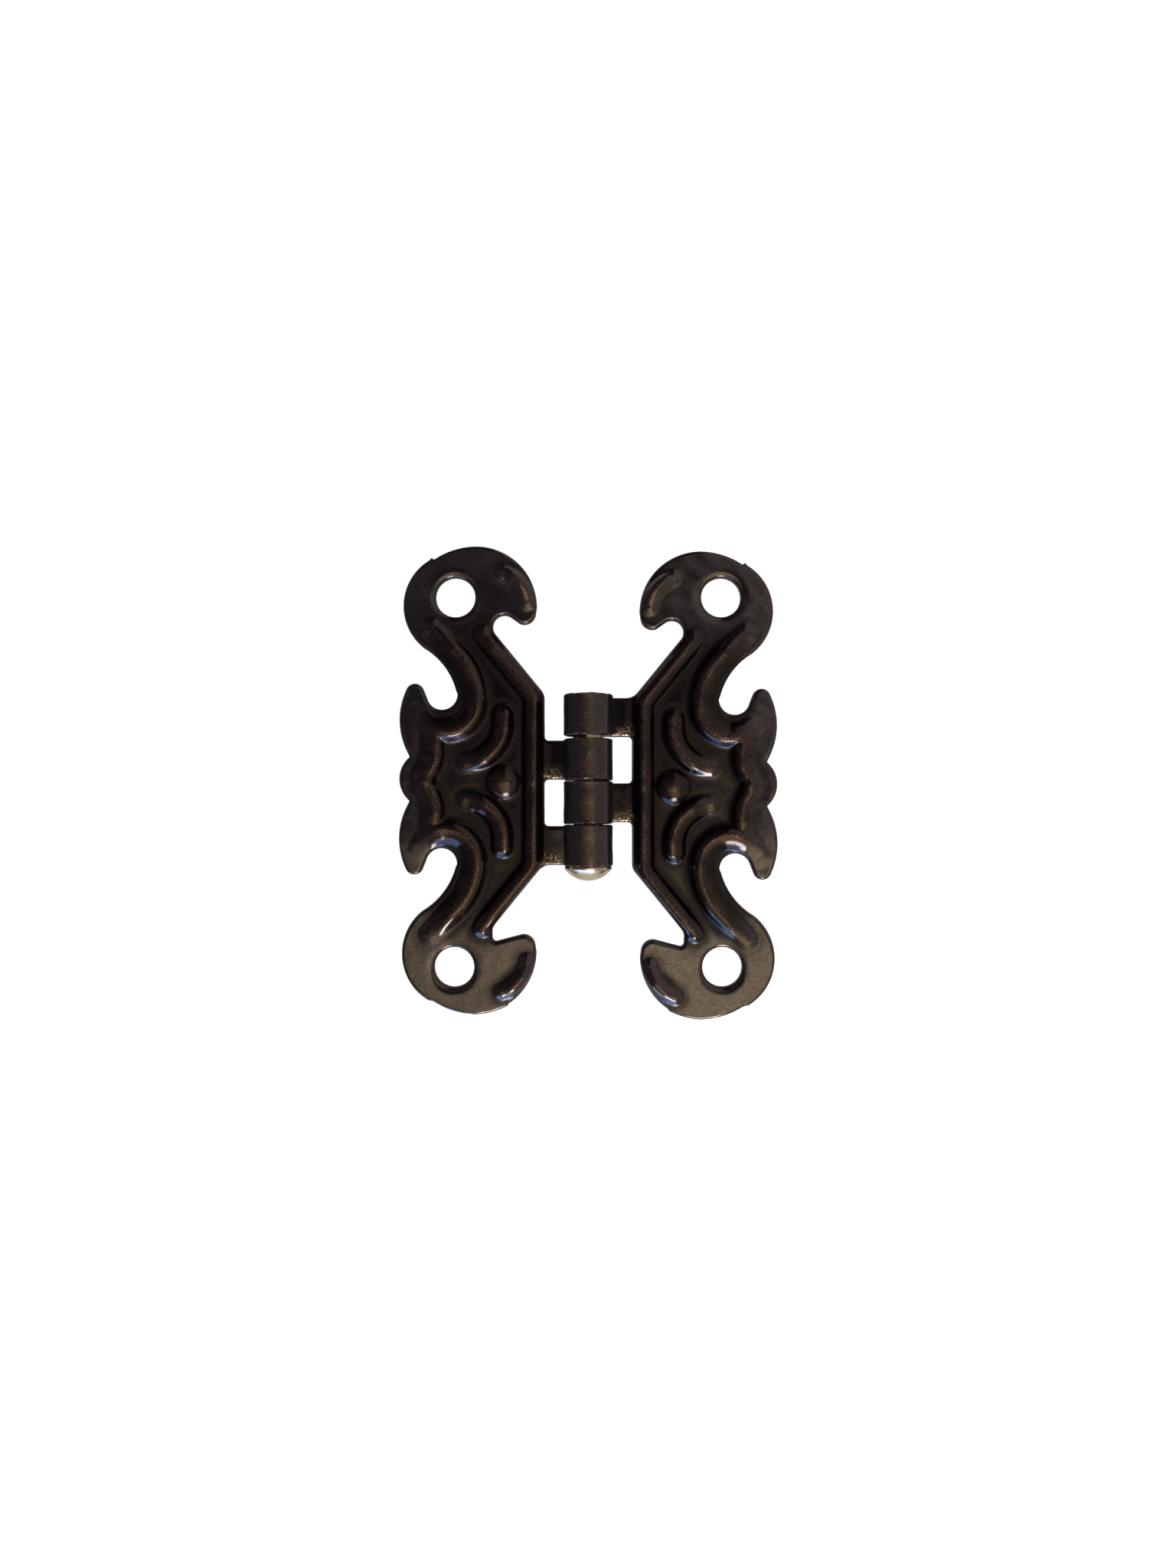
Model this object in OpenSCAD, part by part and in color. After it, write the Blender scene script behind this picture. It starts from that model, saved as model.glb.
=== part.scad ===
// Ornamental two-leaf hinge: two stamped sheet leaves whose tabs are rolled round one headed pin.
// The barrel runs along Y. The leaves lie open and flat, with their backs on z = 0 and their
// raised beads towards +Z. The origin is the middle of the four screw holes, on the back face.
// A leaf is drawn at +X, with its inner edge facing the barrel, and the left one is its mirror.

/* [Sheet] */
// Thickness of the sheet
sheet_t = 1.0; // [0.9:0.05:1.1]
// Distance from the barrel's axis to a leaf's inner edge
inner_edge = 4.75; // [4.65:0.05:4.85]

/* [Screw holes] */
// Radius of the four holes
hole_r = 2.15; // [1.8:0.05:2.3]
// Distance from the barrel's axis to the holes
hole_x = 14.5; // [14.2:0.1:14.8]
// Half the distance between the two holes of a leaf
hole_y = 20.1; // [19.8:0.1:20.4]
// Width of the eased edge round each hole
hole_easing = 0.4; // [0.2:0.05:0.5]

/* [Barrel] */
// Width of each knuckle along the barrel
knuckle_w = 4.25; // [4:0.05:4.3]
// Gap between two knuckles
knuckle_gap = 0.4; // [0.35:0.05:0.5]
// Part of each roll that stays open above its tab, in degrees
seam_angle = 56; // [54:1:62]

/* [Pin] */
// Radius of the pin
pin_r = 1.6; // [1.5:0.05:1.65]
// Radial play of the pin in the right leaf's knuckles
running_gap = 0.05; // [0.02:0.01:0.1]
// Radius of the pin's head
head_r = 2.55; // [2.4:0.05:2.6]
// Height of the pin's head
head_h = 1.6; // [1.4:0.1:1.8]

/* [Embossing] */
// Height of the raised beads above the sheet
bead_h = 0.9; // [0.7:0.05:1]
// Half the width of the bead along the inner edge
frame_bead_w = 1.0; // [0.8:0.05:1]
// Half the width of the scrolled beads
scroll_bead_w = 1.1; // [0.9:0.05:1.15]
// Radius of the dome beside the barrel
dome_r = 1.9; // [1.6:0.05:1.9]
// Height of the dome
dome_h = 0.85; // [0.75:0.05:1.2]
// Half the width of the hollows behind the beads
hollow_w = 0.6; // [0.5:0.05:0.65]
// Depth of the hollows behind the beads
hollow_d = 0.5; // [0.4:0.05:0.55]

/* [Stamping] */
// How far each leaf's outline slips along the barrel off its holes: left up, right down
outline_slip = 0.28; // [0:0.02:0.3]
// How far down the embossing slips inside each outline
embossing_slip = 0.25; // [0:0.05:0.3]

/* [Hidden] */

$fn = 64;
bronze = [0.17, 0.13, 0.11];
nickel = [0.80, 0.74, 0.62];

// Barrel
roll_bore = pin_r + running_gap;
roll_r = roll_bore + sheet_t;
pitch = knuckle_w + knuckle_gap;
barrel_end = 2 * knuckle_w + 1.5 * knuckle_gap;
right_knuckles = [barrel_end - knuckle_w, barrel_end - knuckle_w - 2 * pitch];
left_knuckles = [barrel_end - knuckle_w - pitch, -barrel_end];
tab_overlap = 0.4;
tab_fillet = 0.45;
web_fillet = 1.6;
stub_depth = 0.8;

// Pin
pin_end_set_back = 0.3;
pin_chamfer = 0.2;
head_rim = 0.3;

// Leaf outline, upper half: centre and radius of each round stretch, from the inner edge outwards
inner_corner_r = 1.5;
inner_corner = [inner_edge + inner_corner_r, 8.7];
neck_slope = 50.5;
notch = [9.15, 16.6];
notch_r = 1.25;
square_notch = [9.9, 17.1];
square_notch_r = 0.5;
hook_tip = [7.0, 18.15];
hook_tip_r = 1.3;
hook_back = [12.3, 18.75];
hook_back_r = 6.7;
crown = [12.17, 17.09];
crown_r = 8.36;
stepped_crown = [12.6, 17.0];
stepped_crown_r = 8.5;
nub = [17.2, 24.2];
lobe = [14.3, 18.9];
lobe_r = 5.9;
waist = [21.9, 7.6];
waist_r = 7.75;
bay = [15.95, 9.25];
bay_r = 1.7;
wing_tip = [18.9, 9.4];
wing_tip_r = 1.0;
wing = [12.86, 6.46];
wing_r = 7.71;
scallop = [17.44, 0];
scallop_r = 3.13;
arc_step = 8;

// Beads: start, heading in degrees, then the stretches, each [length] or [radius, turn to the left].
// The frame and wave beads start on the leaf's middle line, where their mirrored halves meet them.
frame_bead = [[6.1, 0], 90, [[8.4], [2.2, -39.5], [7.2], [3.0, 14]]];
scroll_bead = [[17.0, 16.8], 225, [[4.0], [7.6, 45], [3.4, 90], [3.4, 58], [1.0]]];
wave_bead = [[17.5, 0], 90, [[1.7, 35], [3.9, -60], [0.8]]];
crescent_bead = [[9.1, 7.15], 270, [[1.0], [4.3, 88]]];
comma_bead = [[9.3, 22.8], 202, [[0.4], [3.6, 58], [0.5]]];
comma_bead_w = 0.9;
comma_bead_h = 0.75;
wave_bead_drop = 0.05;
wave_bead_h = bead_h - wave_bead_drop;
dome_at = [9.15, 0];
bead_root = 0.35;
// Every second stretch of a bead is this much slimmer and runs this far into its neighbours
nesting = 0.01;
run_in = 0.1;

function arc(c, r, from, to) =
    let (n = max(2, ceil(abs(to - from) / arc_step)))
    [for (i = [0:n]) let (a = from + (to - from) * i / n) c + r * [cos(a), sin(a)]];

function round_notch() =
    arc(notch, notch_r, neck_slope - 90, 125);

function squarer_notch() = concat(
    arc(notch, notch_r, neck_slope - 90, 10),
    arc(square_notch, square_notch_r, 10, 80)
);

function nubbed_crown() = concat(
    arc(hook_back, hook_back_r, 180, 90),
    arc(crown, crown_r, 86, 56),
    [nub]
);

function crown_with_step() = concat(
    arc(hook_back, hook_back_r, 180, 124),
    arc(stepped_crown, stepped_crown_r, 117, 92),
    arc(crown, crown_r, 86, 57)
);

// Where the straight neck, run on downwards, crosses the height v
function neck_x(v) =
    inner_corner.x + inner_corner_r * cos(90 + neck_slope)
    + (v - inner_corner.y - inner_corner_r * sin(90 + neck_slope)) / tan(neck_slope);

// Stub of the outermost tab, with the curved web between the tab's side and the slanting neck
function tab_stub() =
    let (corner = [neck_x(barrel_end + outline_slip), barrel_end + outline_slip])
    let (bend = corner + [-web_fillet * tan(neck_slope / 2), web_fillet])
    concat(
        [[inner_edge, corner.y - stub_depth], [bend.x, corner.y - stub_depth]],
        arc(bend, web_fillet, -90, neck_slope - 90)
    );

// The upper half has a round notch and a nub, the lower half a squarer notch and a step.
// A half with the outermost tab starts at the tab's stub, and the other at a plain corner.
function half_outline(upper, tabbed) = concat(
    tabbed ? tab_stub() : arc(inner_corner, inner_corner_r, 180, 90 + neck_slope),
    upper ? round_notch() : squarer_notch(),
    arc(hook_tip, hook_tip_r, 290, 185),
    upper ? nubbed_crown() : crown_with_step(),
    arc(lobe, lobe_r, 59, -52),
    arc(waist, waist_r, 121, 165),
    arc(bay, bay_r, 180, 344),
    arc(wing_tip, wing_tip_r, 164, 20),
    arc(wing, wing_r, 22, -26),
    arc(scallop, scallop_r, 50, 4)
);

function mirrored(points) = [for (p = points) [p.x, -p.y]];
function backwards(points) = [for (i = [len(points) - 1:-1:0]) points[i]];

module outline(tab_side) {
    polygon(concat(
        mirrored(half_outline(false, tab_side < 0)),
        backwards(half_outline(true, tab_side > 0))
    ));
}

// Rounded corner between a tab's side at height y and the leaf's inner edge
module tab_root(y, side) {
    corner = concat(
        [[tab_overlap, -tab_overlap], [tab_overlap, tab_fillet]],
        arc([-tab_fillet, tab_fillet], tab_fillet, 0, -90),
        [[-tab_fillet, -tab_overlap]]
    );
    translate([inner_edge, y])
        polygon(side > 0 ? corner : backwards(mirrored(corner)));
}

// Cross-section of one rolled tab, in the plane across the barrel
module roll_section(bore_r) {
    far = 2 * roll_r;
    difference() {
        translate([0, roll_r])
            circle(r = roll_r);
        translate([0, roll_r])
            circle(r = bore_r);
        polygon([
            [0, roll_r],
            [0, -far],
            [far, -far],
            [far * sin(seam_angle), roll_r - far * cos(seam_angle)]
        ]);
    }
    square([inner_edge + tab_overlap, sheet_t]);
}

module knuckle(y, bore_r) {
    translate([0, y + knuckle_w, 0])
        rotate([90, 0, 0])
            linear_extrude(knuckle_w)
                roll_section(bore_r);
}

// Rounded ridge of half-width w and height h, standing on the line y = 0 with its root below it
module ridge_section(w, h) {
    ridge_r = (w * w + h * h) / (2 * h);
    intersection() {
        translate([0, h - ridge_r])
            circle(r = ridge_r);
        translate([-w, -bead_root])
            square([2 * w, h + bead_root + 1]);
    }
}

// Round knob with the ridge's own section: a bead's end, or the dome
module knob(w, h) {
    rotate_extrude()
        intersection() {
            ridge_section(w, h);
            translate([0, -1])
                square([w + 1, h + 2]);
        }
}

module straight_ridge(length, over, w, h) {
    translate([-over, 0, 0])
        rotate([90, 0, 90])
            linear_extrude(length + 2 * over)
                ridge_section(w, h);
}

// A bend to the left, starting at the origin and heading along +X
module bent_ridge(radius, turn, over, w, h) {
    over_turn = over / radius * 180 / PI;
    translate([0, radius, 0])
        rotate([0, 0, -90 - over_turn])
            rotate_extrude(angle = turn + 2 * over_turn)
                translate([radius, 0])
                    ridge_section(w, h);
}

module stretch(shape, over, w, h) {
    if (len(shape) == 1) {
        straight_ridge(shape[0], over, w, h);
    } else {
        mirror([0, shape[1] > 0 ? 0 : 1, 0])
            bent_ridge(shape[0], abs(shape[1]), over, w, h);
    }
}

// Moves its children from a stretch's start to its end
module after(shape) {
    if (len(shape) == 1) {
        translate([shape[0], 0, 0])
            children();
    } else {
        centre = sign(shape[1]) * shape[0];
        translate([0, centre, 0])
            rotate([0, 0, shape[1]])
                translate([0, -centre, 0])
                    children();
    }
}

// The stretches from number i on, and the knob after the last one
module ridge_run(stretches, w, h, i = 0) {
    if (i == len(stretches)) {
        knob(w - 2 * nesting, h - 2 * nesting);
    } else {
        slimmer = (i % 2) * nesting;
        stretch(stretches[i], (i % 2) * run_in, w - slimmer, h - slimmer);
        after(stretches[i])
            ridge_run(stretches, w, h, i + 1);
    }
}

module bead(path, w, h, open_start = false) {
    translate(concat(path[0], 0))
        rotate([0, 0, path[1]]) {
            ridge_run(path[2], w, h);
            if (!open_start) {
                knob(w - 2 * nesting, h - 2 * nesting);
            }
        }
}

module dome(r, h) {
    translate(concat(dome_at, 0))
        knob(r, h);
}

// Raised side of one half of the leaf
module half_relief() {
    bead(frame_bead, frame_bead_w, bead_h, open_start = true);
    bead(scroll_bead, scroll_bead_w, bead_h);
    bead(wave_bead, frame_bead_w, wave_bead_h, open_start = true);
    bead(crescent_bead, scroll_bead_w, bead_h);
    bead(comma_bead, comma_bead_w, comma_bead_h);
}

// Hollows that the same stamping leaves in the back
module half_hollows() {
    bead(frame_bead, hollow_w, hollow_d, open_start = true);
    bead(scroll_bead, hollow_w, hollow_d);
    bead(wave_bead, hollow_w, hollow_d, open_start = true);
    bead(crescent_bead, hollow_w, hollow_d);
    bead(comma_bead, hollow_w, hollow_d);
}

module screw_hole() {
    cylinder(r = hole_r, h = 3 * sheet_t, center = true);
    translate([0, 0, sheet_t - hole_easing])
        cylinder(r1 = hole_r, r2 = hole_r + 2 * hole_easing, h = 2 * hole_easing);
}

// tab_side says which half, upper (1) or lower (-1), has the outermost tab
module leaf(knuckles, bore_r, outline_shift, tab_side) {
    difference() {
        union() {
            linear_extrude(sheet_t) {
                translate([0, outline_shift])
                    outline(tab_side);
                for (y = knuckles, side = [-1, 1]) {
                    edge = y + (side > 0 ? knuckle_w : 0);
                    if (abs(edge) < barrel_end - tab_fillet) {
                        tab_root(edge, side);
                    }
                }
            }
            for (y = knuckles) {
                knuckle(y, bore_r);
            }
            translate([0, outline_shift - embossing_slip, sheet_t]) {
                half_relief();
                mirror([0, 1, 0])
                    half_relief();
                dome(dome_r, dome_h);
            }
        }
        translate([0, outline_shift - embossing_slip, 0]) {
            half_hollows();
            mirror([0, 1, 0])
                half_hollows();
            dome(2 * hollow_w, hollow_d);
        }
        for (y = [-hole_y, hole_y]) {
            translate([hole_x, y, 0])
                screw_hole();
        }
    }
}

module left_leaf() {
    color(bronze)
        mirror([1, 0, 0])
            leaf(left_knuckles, pin_r, outline_slip, -1);
}

module right_leaf() {
    color(bronze)
        leaf(right_knuckles, roll_bore, -outline_slip, 1);
}

// Built upright with its head at the top, then laid along the barrel with the head at the low end
module hinge_pin() {
    shank_from = pin_end_set_back - barrel_end;
    shank_to = barrel_end;
    dome = head_h - head_rim;
    dome_sphere_r = (head_r * head_r + dome * dome) / (2 * dome);
    color(nickel)
        translate([0, 0, roll_r])
            rotate([90, 0, 0]) {
                translate([0, 0, shank_from])
                    cylinder(r1 = pin_r - pin_chamfer, r2 = pin_r, h = pin_chamfer);
                translate([0, 0, shank_from + pin_chamfer])
                    cylinder(r = pin_r, h = shank_to - shank_from - pin_chamfer);
                translate([0, 0, shank_to])
                    rotate_extrude()
                        intersection() {
                            translate([0, head_h - dome_sphere_r])
                                circle(r = dome_sphere_r);
                            square([head_r, head_h]);
                        }
            }
}

left_leaf();
right_leaf();
hinge_pin();
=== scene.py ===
"""Looks of the ornamental hinge: two stamped and rolled bronze leaves round one bright headed pin."""

import math

import bpy
import numpy as np
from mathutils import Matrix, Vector
from mathutils.geometry import delaunay_2d_cdt


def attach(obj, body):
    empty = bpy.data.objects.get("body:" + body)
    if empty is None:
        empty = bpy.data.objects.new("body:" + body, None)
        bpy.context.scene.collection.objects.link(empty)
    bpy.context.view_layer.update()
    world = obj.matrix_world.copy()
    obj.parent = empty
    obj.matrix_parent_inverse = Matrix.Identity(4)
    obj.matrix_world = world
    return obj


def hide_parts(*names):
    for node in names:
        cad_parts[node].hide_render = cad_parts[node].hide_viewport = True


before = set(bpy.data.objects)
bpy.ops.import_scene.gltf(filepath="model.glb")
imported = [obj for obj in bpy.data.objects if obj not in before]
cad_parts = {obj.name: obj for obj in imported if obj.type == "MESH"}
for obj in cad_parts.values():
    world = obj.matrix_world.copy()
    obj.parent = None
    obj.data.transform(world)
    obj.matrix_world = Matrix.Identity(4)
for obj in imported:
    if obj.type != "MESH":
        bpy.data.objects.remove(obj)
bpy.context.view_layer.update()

MM = 0.001

# ---------------------------------------------------------------- sizes of the CAD part, in mm
SHEET_T = 1.0
INNER_EDGE = 4.75
HOLE_R, HOLE_X, HOLE_Y = 2.15, 14.5, 20.1
KNUCKLE_W, KNUCKLE_GAP = 4.25, 0.4
SEAM_ANGLE = 56.0
PIN_R, RUNNING_GAP, PIN_SET_BACK = 1.6, 0.05, 0.3
HEAD_R, HEAD_H, HEAD_RIM = 2.55, 1.6, 0.3
OUTLINE_SLIP, EMBOSSING_SLIP = 0.28, 0.25
ROLL_R = PIN_R + RUNNING_GAP + SHEET_T
MID_R = ROLL_R - SHEET_T / 2
PITCH = KNUCKLE_W + KNUCKLE_GAP
BARREL_END = 2 * KNUCKLE_W + 1.5 * KNUCKLE_GAP
RIGHT_KNUCKLES = [BARREL_END - KNUCKLE_W, BARREL_END - KNUCKLE_W - 2 * PITCH]
LEFT_KNUCKLES = [BARREL_END - KNUCKLE_W - PITCH, -BARREL_END]
TAB_FILLET, WEB_FILLET = 0.45, 1.6
WRAP = math.radians(360 - SEAM_ANGLE)
STRIP = WRAP * MID_R

# Upper half of the outline: centre and radius of each round stretch
INNER_CORNER, INNER_CORNER_R, NECK_SLOPE = (6.25, 8.7), 1.5, 50.5
NOTCH = ((9.15, 16.6), 1.25)
SQUARE_NOTCH = ((9.9, 17.1), 0.5)
HOOK_TIP = ((7.0, 18.15), 1.3)
HOOK_BACK = ((12.3, 18.75), 6.7)
CROWN = ((12.17, 17.09), 8.36)
STEPPED_CROWN = ((12.6, 17.0), 8.5)
NUB = (17.2, 24.2)
LOBE = ((14.3, 18.9), 5.9)
WAIST = ((21.9, 7.6), 7.75)
BAY = ((15.95, 9.25), 1.7)
WING_TIP = ((18.9, 9.4), 1.0)
WING = ((12.86, 6.46), 7.71)
SCALLOP = ((17.44, 0), 3.13)

# ---------------------------------------------------------------- embossing, in mm
# It follows the CAD part's beads, with a softer flank on one side.
BEAD_H = 0.9
DOME_AT, DOME_R, DOME_H = (9.22, -0.1), 1.95, 0.85

# Beads: name, start, heading in degrees, stretches [length] or [radius, left turn], half width on the left
# and on the right of the path, and height
BEADS = [
    ("frame", (5.95, 0), 90, [[8.4], [2.2, -39.5], [7.2], [3.0, 14]], 1.15, 1.25, BEAD_H),
    ("scroll", (17.0, 16.8), 225, [[4.0], [7.6, 45], [3.4, 90], [3.4, 58], [1.0]], 1.7, 1.15, BEAD_H),
    ("wave", (17.5, 0), 90, [[1.7, 35], [3.9, -60], [1.7]], 1.15, 1.7, 0.85),
    ("crescent", (9.0, 7.15), 270, [[1.0], [4.35, 88]], 1.6, 1.0, BEAD_H),
    ("comma", (9.3, 22.8), 202, [[0.4], [3.6, 58], [0.5]], 1.1, 1.0, 0.75),
]

# How the beads' two ends die out: over what share of the length, and how much of the height
ENDS = {
    "frame": ((0.1, 0.0), (0.12, 0.35)),
    "scroll": ((0.18, 0.7), (0.2, 0.95)),
    "wave": ((0.1, 0.0), (0.4, 0.95)),
    "crescent": ((0.12, 0.1), (0.3, 0.55)),
    "comma": ((0.3, 0.35), (0.45, 0.6)),
}

# How far from its path a bead's marks are worked out
BEAD_REACH = 2.5

# Beads with a sharp line pressed in along one foot, and that line's place in half widths, depth and width
CREASED = ("frame", "scroll", "crescent")
CREASE_AT, CREASE_D, CREASE_W = 1.03, 0.02, 0.08

# How softly a bead meets its neighbours, and the dome the beads
BEAD_VALLEY, DOME_VALLEY = 0.25, 0.12

# Depth and width of the hollows behind a bead and behind the dome, and the deepest that a hollow gets
BEAD_HOLLOW_D, BEAD_HOLLOW_W = 0.62, 0.66
DOME_HOLLOW_D, DOME_HOLLOW_W = 0.6, 1.15
DEEPEST_HOLLOW = 0.8

# Unevenness of the plate: height and wavelength
PLATE_WAVES = ((0.012, 7.0), (0.004, 2.6))

# Eased edge of the holes on the front and back, and the dish round them: depth and reach
HOLE_EASING, HOLE_BACK_EASING = 0.34, 0.05
HOLE_DISH, HOLE_DISH_W = 0.10, 0.5

# The sheet turns from rolled to flat between these distances from the barrel's axis
FLAT_FROM = (1.5, 4.2)

# Rounding of the sheet's front and back edges, on the flat leaf and on the roll
FLAT_FRONT_R, FLAT_BACK_R = 0.36, 0.07
ROLLED_FRONT_R, ROLLED_BACK_R = 0.2, 0.17

# ---------------------------------------------------------------- rolled knuckles, in mm
# How far a knuckle's ends stand out sideways, what is left of it at the gap that shows the pin, and how far
# round the roll the full amount is reached
END_SWELL, SHOWN_GAP_SHARE, SWELL_REACH = 0.15, 0.2, 1.5

# Height of a slow and a fast wave along a knuckle's ends, and each one's rate in radians a mm
SLOW_WAVE, SLOW_RATE = 0.02, 2.3
FAST_WAVE, FAST_RATE = 0.012, 5.9

# How far a knuckle's outside stands in from the full radius: on average, how much it varies, and at most
ROLL_DENT, ROLL_RIPPLE, DEEPEST_DENT = 0.025, 0.02, 0.09

# ---------------------------------------------------------------- wear and dirt, in mm
# Width of a bead's rubbed crest and place of the grime with painted shade at its foot, in half widths, and
# that band's width
CREST_SHARE = 0.48
GRIME_AND_SHADE_AT, GRIME_AND_SHADE_W = 1.2, 0.45

# Reach of the wear and painted shade at the sheet's edges and round the holes, and of the wear at the
# knuckles' lips
EDGE_WEAR_AND_SHADE_W, HOLE_WEAR_AND_SHADE_W, LIP_WEAR_W = 0.22, 0.4, 0.12

# The dome's rubbed crest: its share of the radius and its strength. The grime with painted shade at its foot,
# as a share of the radius, and that band's width. The reach of the painted shade round it.
DOME_CREST_SHARE, DOME_CREST = 0.6, 0.8
DOME_GRIME_AND_SHADE_AT, DOME_GRIME_AND_SHADE_W = 1.04, 0.25
DOME_SHADE_REACH = 1.2

# Embossing higher than this carries no crease, and the grime with painted shade ends at about the second
# height
CREASE_TOP, GRIME_AND_SHADE_TOP = 0.25, 0.35

# Bright wear near a tab's lower edge: its height above that edge and how far it spreads up and down, and the
# stretches across the leaf where it sets in and ends
TAB_WEAR_AT, TAB_WEAR_UP, TAB_WEAR_DOWN = 0.3, 0.75, 0.3
TAB_WEAR_START, TAB_WEAR_END = (2.6, 3.3), (4.7, 5.5)

# Painted shade on the tabs: its strength, where it ends and how softly
TAB_SHADE, TAB_SHADE_END, TAB_SHADE_BLUR = 0.75, 5.2, 0.6

# Over the barrel, as angles in radians from its top: the rubbed line and its width, and where the painted
# shade down the sides sets in on the left and on the right
RUB_AT, RUB_W = -0.16, 0.42
LEFT_SIDE, RIGHT_SIDE = (0.35, 0.75), (0.85, 1.05)

# The panel that the beads enclose fades out over these stretches, along the barrel from the leaf's middle
# and across from the barrel's axis. Bands of painted shade beside the beads: their reach, and how much more
# in the panel.
PANEL_END_V, PANEL_END_U = (13, 16), (12.5, 15)
SHADE_REACH, PANEL_SHADE_REACH = 1.1, 4

# The bands are weaker by this share past this stretch across the leaf, towards its wings
WING_SHARE, WING_FROM = 0.6, (16.5, 18.5)

# ---------------------------------------------------------------- fineness of the mesh, in mm
EDGE_STEP = 0.15
FILLET_STEP = 0.1
GRID_STEP = 0.22
ROW_STEP = 0.2
EDGE_LOOPS = [0.05, 0.12, 0.21, 0.33, 0.48]
ROLL_POINTS = 100
PIN_FACETS = 72

# Rows of points over a bead in half widths from its crest, and their radii over the dome and outside a hole
BEAD_ROWS = (0, 0.14, 0.28, 0.41, 0.54, 0.66, 0.77, 0.86, 0.94, 1.0, 1.07, 1.16, 1.3)
DOME_ROWS = (0.0, 0.3, 0.6, 0.9, 1.2, 1.45, 1.65, 1.78, 1.85, 1.95, 2.1, 2.3)
HOLE_ROWS = (0.0, 0.06, 0.14, 0.24, 0.36, 0.5, 0.66, 0.84)
HOLE_POINTS = 96

# Least distance between points round the holes, in the edge's loops, in the rows and in the grid, the side
# of the cells they are looked up in, and how far the rows and the grid keep from the outline
RIM_APART, LOOP_APART, ROW_APART, GRID_APART = 0.04, 0.075, 0.085, 0.15
CELL = 0.25
ROW_CLEARANCE, GRID_CLEARANCE = 0.06, 0.5

WALL_ROWS = 2
CORNER_ANGLE = math.radians(50)

# Points worked out at a time, to save memory
CHUNK = 4000


# ---------------------------------------------------------------- curves and blends
def arc(c, r, a0, a1, step=EDGE_STEP):
    n = max(2, math.ceil(abs(math.radians(a1 - a0)) * r / step))
    t = np.radians(np.linspace(a0, a1, n + 1))
    return [(c[0] + r * math.cos(x), c[1] + r * math.sin(x)) for x in t]


def ring(centre, r, count, turn=0.0):
    t = np.arange(count) * 2 * math.pi / count + turn
    return centre + r * np.c_[np.cos(t), np.sin(t)]


def smooth_step(x, a, b):
    t = np.clip((x - a) / (b - a), 0, 1)
    return t * t * (3 - 2 * t)


def bell(x, width):
    """1 at x = 0, and falling to nothing over about twice the width on both sides."""
    return np.exp(-((x / width) ** 2))


def ripple(p, wavelength, seed, count=9):
    """Gentle unevenness between about -1 and 1, the same each run."""
    rng = np.random.default_rng(seed)
    out = np.zeros(len(p))
    for _ in range(count):
        a = rng.uniform(0, 2 * math.pi)
        k = 2 * math.pi / wavelength * rng.uniform(0.6, 1.5)
        out += np.sin((p[:, 0] * math.cos(a) + p[:, 1] * math.sin(a)) * k + rng.uniform(0, 2 * math.pi))
    return out / math.sqrt(count)


def rounded(d, r):
    """How far an edge rounded to radius r has dropped at distance d inside the outline."""
    d = np.clip(d, 0, r)
    return r - np.sqrt(np.maximum(r * r - (r - d) ** 2, 0))


def softened(g, softness):
    """The positive part of g, with its corner at 0 rounded off."""
    return 0.5 * (g + np.sqrt(g * g + softness))


def blended_max(a, b, k):
    """The larger of two heights, with the valley between them filled where both stand up."""
    fill = np.maximum(k - np.abs(a - b), 0) ** 2 / (4 * k)
    return np.maximum(a, b) + fill * np.clip(np.minimum(a, b) / k, 0, 1)


def soft_ridge(t):
    """Section of a ridge that runs out softly. t is the distance from its crest in half widths."""
    return 0.5 + 0.5 * np.cos(math.pi * np.clip(t / 1.12, 0, 1) ** 1.2)


def crisp_ridge(t):
    """Section of a ridge with full flanks and a sharp foot."""
    return softened(1 - np.clip(t, 0, 2) ** 1.9, 0.004) * (1 - smooth_step(t, 1.3, 1.8))


# ---------------------------------------------------------------- outline
def neck_x(v):
    """Where the straight neck, run on downwards, crosses the height v."""
    t = math.radians(90 + NECK_SLOPE)
    return (INNER_CORNER[0] + INNER_CORNER_R * math.cos(t)
            + (v - INNER_CORNER[1] - INNER_CORNER_R * math.sin(t)) / math.tan(math.radians(NECK_SLOPE)))


def half_outline(upper, tabbed):
    """Half a leaf's outline, from the inner edge outwards. A tabbed half starts on the outermost tab's web.
    The upper half has a round notch and a nub, the lower half a squarer notch and a step in its crown."""
    if tabbed:
        v = BARREL_END + OUTLINE_SLIP
        bend = (neck_x(v) - WEB_FILLET * math.tan(math.radians(NECK_SLOPE / 2)), v + WEB_FILLET)
        points = arc(bend, WEB_FILLET, -90, NECK_SLOPE - 90)
    else:
        points = arc(INNER_CORNER, INNER_CORNER_R, 180, 90 + NECK_SLOPE)
    if upper:
        points += arc(*NOTCH, NECK_SLOPE - 90, 125) + arc(*HOOK_TIP, 290, 185)
        points += arc(*HOOK_BACK, 180, 90) + arc(*CROWN, 86, 56) + [NUB]
    else:
        points += arc(*NOTCH, NECK_SLOPE - 90, 10) + arc(*SQUARE_NOTCH, 10, 80) + arc(*HOOK_TIP, 290, 185)
        points += arc(*HOOK_BACK, 180, 124) + arc(*STEPPED_CROWN, 117, 92) + arc(*CROWN, 86, 57)
    points += arc(*LOBE, 59, -52) + arc(*WAIST, 121, 165) + arc(*BAY, 180, 344)
    points += arc(*WING_TIP, 164, 20) + arc(*WING, 22, -26) + arc(*SCALLOP, 50, 4)
    return points


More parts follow.
